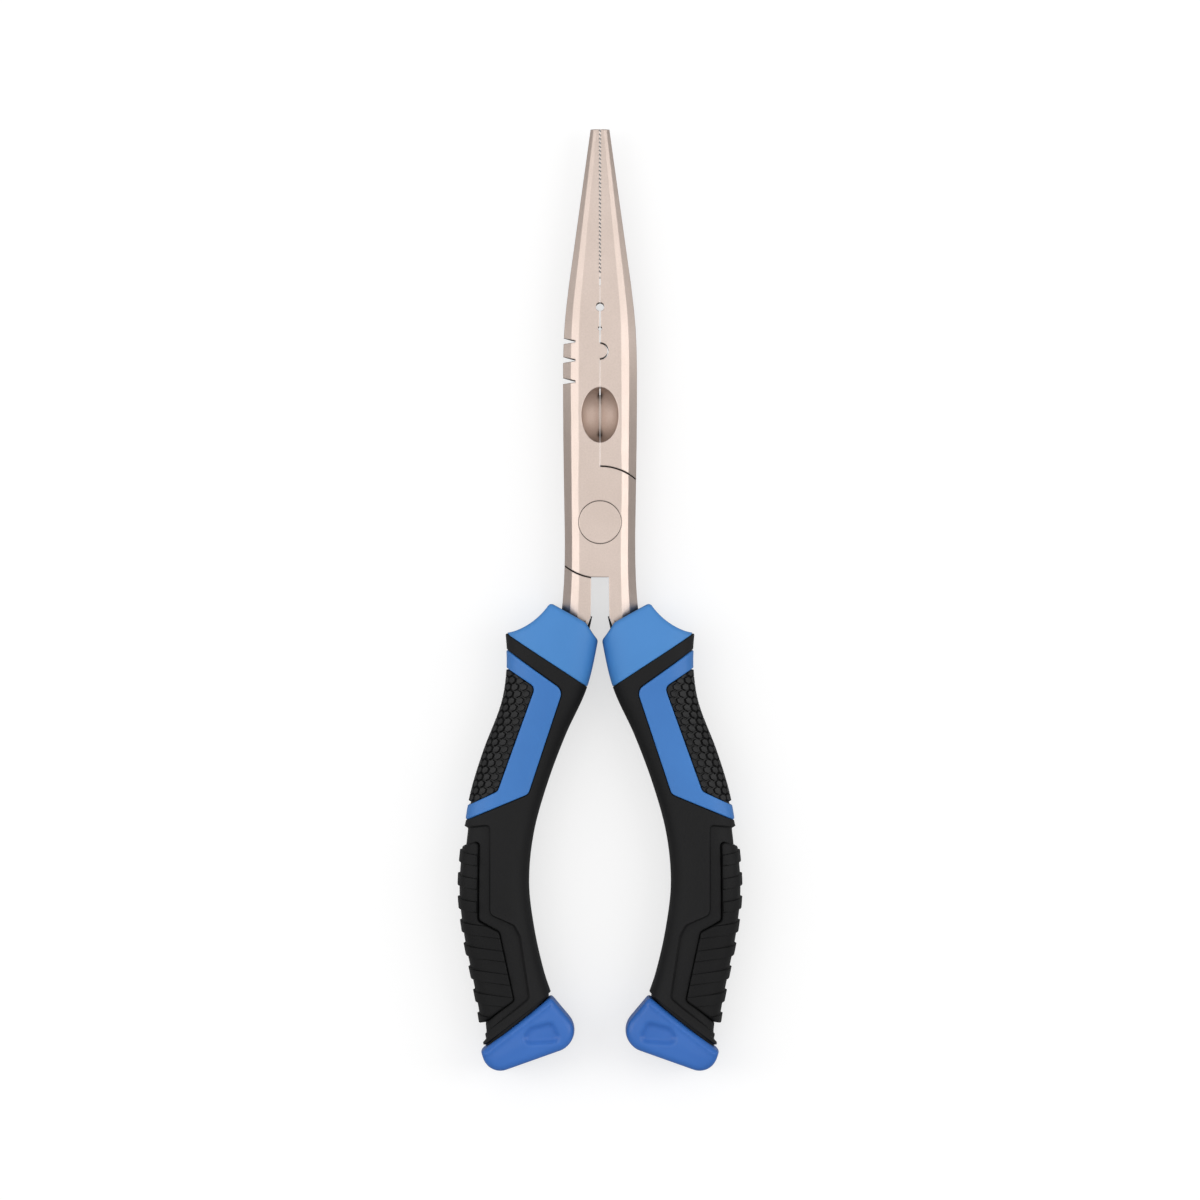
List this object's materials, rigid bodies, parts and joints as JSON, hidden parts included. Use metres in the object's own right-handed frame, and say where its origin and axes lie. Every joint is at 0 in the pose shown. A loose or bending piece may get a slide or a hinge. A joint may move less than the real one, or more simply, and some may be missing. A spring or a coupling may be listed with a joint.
{
  "type": "fishing pliers",
  "caption": "Long-reach pliers with serrated needle jaws, crimpers, a wire cutter, a riveted lap joint and padded handles.",
  "frame": {"origin": "centre of the rivet's front head, flush with the front face of the joint", "axes": "+Z along the pivot towards the front face, +Y towards the jaw tips, +X towards the right handle"},
  "size_m": [0.0698, 0.2301, 0.0169],
  "materials": {
    "jaw_steel": "satin nickel over fine-ground steel",
    "rivet_steel": "ground flush, satin nickel",
    "core_plastic": "matt moulded",
    "guard_blue": "satin moulded",
    "band_blue": "satin moulded",
    "cap_blue": "semi-gloss moulded",
    "grip_rubber": "soft matt",
    "pad_rubber": "soft matt, textured"
  },
  "bodies": {
    "rear_half": {"rear_lever": "jaw_steel", "pivot_rivet": "rivet_steel", "left_handle_core": "core_plastic", "left_guard_collar": "guard_blue", "left_side_band": "band_blue", "left_hex_pad": "pad_rubber", "left_soft_grip": "grip_rubber", "left_rib_pad": "pad_rubber", "left_end_cap": "cap_blue"},
    "front_half": {"front_lever": "jaw_steel", "right_handle_core": "core_plastic", "right_guard_collar": "guard_blue", "right_side_band": "band_blue", "right_hex_pad": "pad_rubber", "right_soft_grip": "grip_rubber", "right_rib_pad": "pad_rubber", "right_end_cap": "cap_blue"}
  },
  "joints": [
    {"name": "pivot", "type": "hinge", "parent": "rear_half", "child": "front_half", "pos_m": [0, 0, -0.00525], "axis": [0, 0, 1], "range_deg": [0, 50]}
  ]
}
